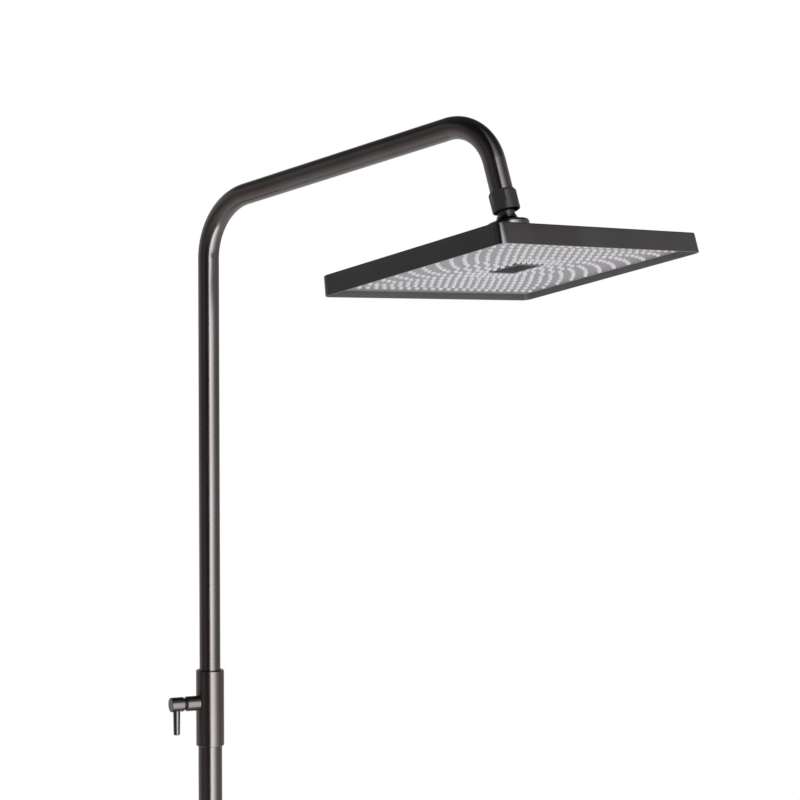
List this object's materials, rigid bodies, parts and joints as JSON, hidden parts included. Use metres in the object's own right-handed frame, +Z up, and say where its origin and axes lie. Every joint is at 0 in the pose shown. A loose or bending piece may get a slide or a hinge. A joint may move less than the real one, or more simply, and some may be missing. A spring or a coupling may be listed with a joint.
{
  "type": "shower system",
  "caption": "Telescopic dark shower column: wall bracket, lower tube, clamping sleeve with lever, bent upper tube, and a rectangular overhead shower on a ball joint.",
  "frame": {"origin": "on the wall face, at the centre of the wall plate's screw pattern", "axes": "+Z up along the column, +Y into the wall, -Y out into the room along the arm"},
  "size_m": [0.3014, 0.569, 1.1307],
  "materials": {
    "dark_brushed": "brushed dark graphite plating with a fine grain along the tube",
    "dark_satin": "satin near-black",
    "dark_shell": "smooth dark graphite, satin gloss",
    "spray_face": "light grey moulded plate",
    "cup": "dark grey moulding",
    "silicone": "white silicone",
    "black_plastic": "black moulded plastic",
    "pale_plastic": "white moulded plastic",
    "brass": "turned brass",
    "rubber": "black rubber",
    "steel": "stainless steel"
  },
  "bodies": {
    "column": {"wall_plate": "steel", "wall_rosette": "dark_brushed", "bracket_arm": "dark_brushed", "arm_screw": "steel", "bracket_ring": "dark_brushed", "ring_liner": "black_plastic", "ring_screw": "steel", "lower_tube": "dark_brushed", "foot_nipple": "brass", "foot_o_rings": "rubber", "foot_union_nut": "dark_brushed", "foot_gasket": "rubber", "sleeve": "dark_brushed", "sleeve_grub_screw": "steel", "wiper_ring": "black_plastic", "guide_bush": "black_plastic"},
    "pad": {"brake_pad": "black_plastic"},
    "lever": {"clamp_spindle": "steel", "neck_washer": "black_plastic", "lever_hub": "dark_brushed", "lever_pin": "dark_brushed", "hub_grub_screw": "steel"},
    "glide": {"glide_ring": "black_plastic"},
    "riser": {"upper_tube": "dark_brushed", "tube_plug": "brass", "plug_o_rings": "rubber", "plug_clip": "steel", "pipe_nipple": "brass", "nipple_o_ring": "rubber", "filter_screen": "pale_plastic", "union_nut": "dark_satin"},
    "upper_seat": {"ball_seat_upper": "black_plastic"},
    "lower_seat": {"ball_seat_lower": "black_plastic"},
    "head": {"ball_stud": "brass", "head_collar": "dark_satin", "collar_gasket": "rubber", "spigot_o_ring": "rubber", "flow_regulator": "pale_plastic", "back_cover": "dark_shell", "chamber_plate": "black_plastic", "chamber_seal": "rubber", "face_screws": "steel", "nozzle_mat": "silicone", "face_plate": "spray_face", "centre_cup": "cup"}
  },
  "joints": [
    {"name": "height_slide", "type": "slide", "parent": "column", "child": "glide", "axis": [0, 0, 1], "range_m": [-0.3, 0.12]},
    {"name": "riser_swivel", "type": "hinge", "parent": "glide", "child": "riser", "pos_m": [0, -0.05, 0.07], "axis": [0, 0, 1], "range_deg": [-60, 60]},
    {"name": "lever_turn", "type": "hinge", "parent": "column", "child": "lever", "pos_m": [0, -0.05, 0.2156], "axis": [-0.9198, 0.3923, 0], "range_deg": [0, 150]},
    {"name": "lever_travel", "type": "slide", "parent": "column", "child": "pad", "axis": [-0.9198, 0.3923, 0], "range_m": [0, 0.00045]},
    {"name": "head_tilt", "type": "hinge", "parent": "riser", "child": "upper_seat", "pos_m": [0, -0.4485, 0.72967], "axis": [1, 0, 0], "range_deg": [-16, 4.5]},
    {"name": "head_roll", "type": "hinge", "parent": "upper_seat", "child": "lower_seat", "pos_m": [0, -0.4485, 0.72967], "axis": [0, 0.9792, -0.2028], "range_deg": [-10.5, 10.5]},
    {"name": "head_spin", "type": "hinge", "parent": "lower_seat", "child": "head", "pos_m": [0, -0.4485, 0.72967], "axis": [0, 0.2028, 0.9792], "continuous": true}
  ],
  "couplings": [
    {"joint": "lever_travel", "follows": "lever_turn", "m_per_rad": 0.00015915}
  ]
}
